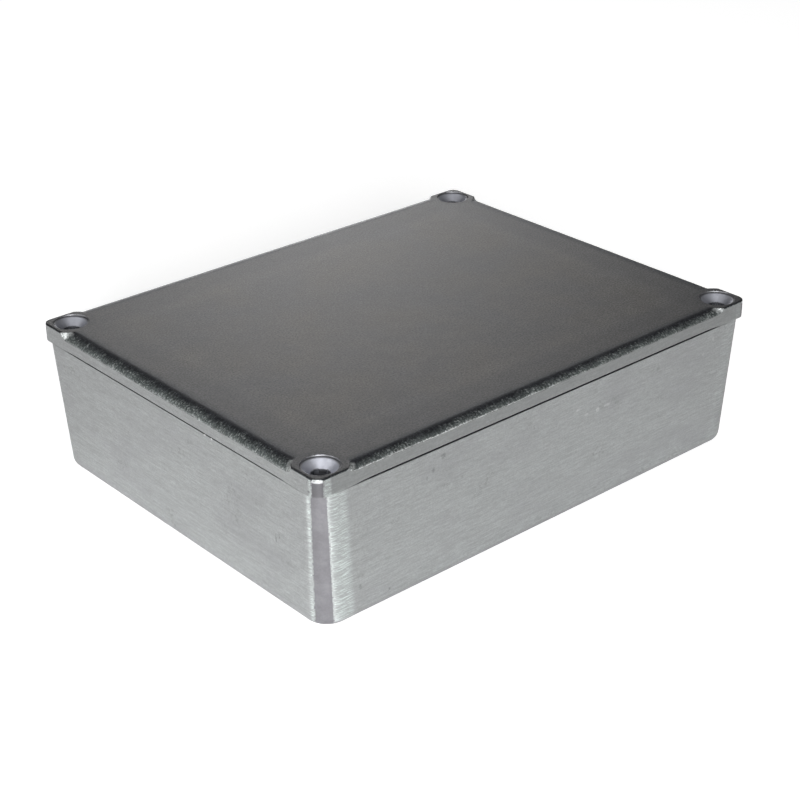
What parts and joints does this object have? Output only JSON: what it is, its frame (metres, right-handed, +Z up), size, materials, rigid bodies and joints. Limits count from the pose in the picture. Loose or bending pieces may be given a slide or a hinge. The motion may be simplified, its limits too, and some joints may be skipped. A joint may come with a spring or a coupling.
{
  "type": "die cast aluminium box",
  "caption": "Flat rectangular die cast aluminium enclosure: drafted open box with tapped corner posts, and a bevelled lid with countersunk corner bosses and a locating tongue.",
  "frame": {"origin": "centre of the base, at the height of the surface that the box stands on", "axes": "+X along the long side, +Y along the short side, +Z up through the lid"},
  "size_m": [0.1194, 0.094, 0.034],
  "materials": {
    "box_casting": "linished sides with fine horizontal streaks, as cast at the corners and inside",
    "lid_casting": "dull mottled as-cast top, dark sparkling rounded edges, linished sides, bright countersinks"
  },
  "bodies": {
    "root": {"box": "box_casting", "lid": "lid_casting"}
  },
  "joints": []
}
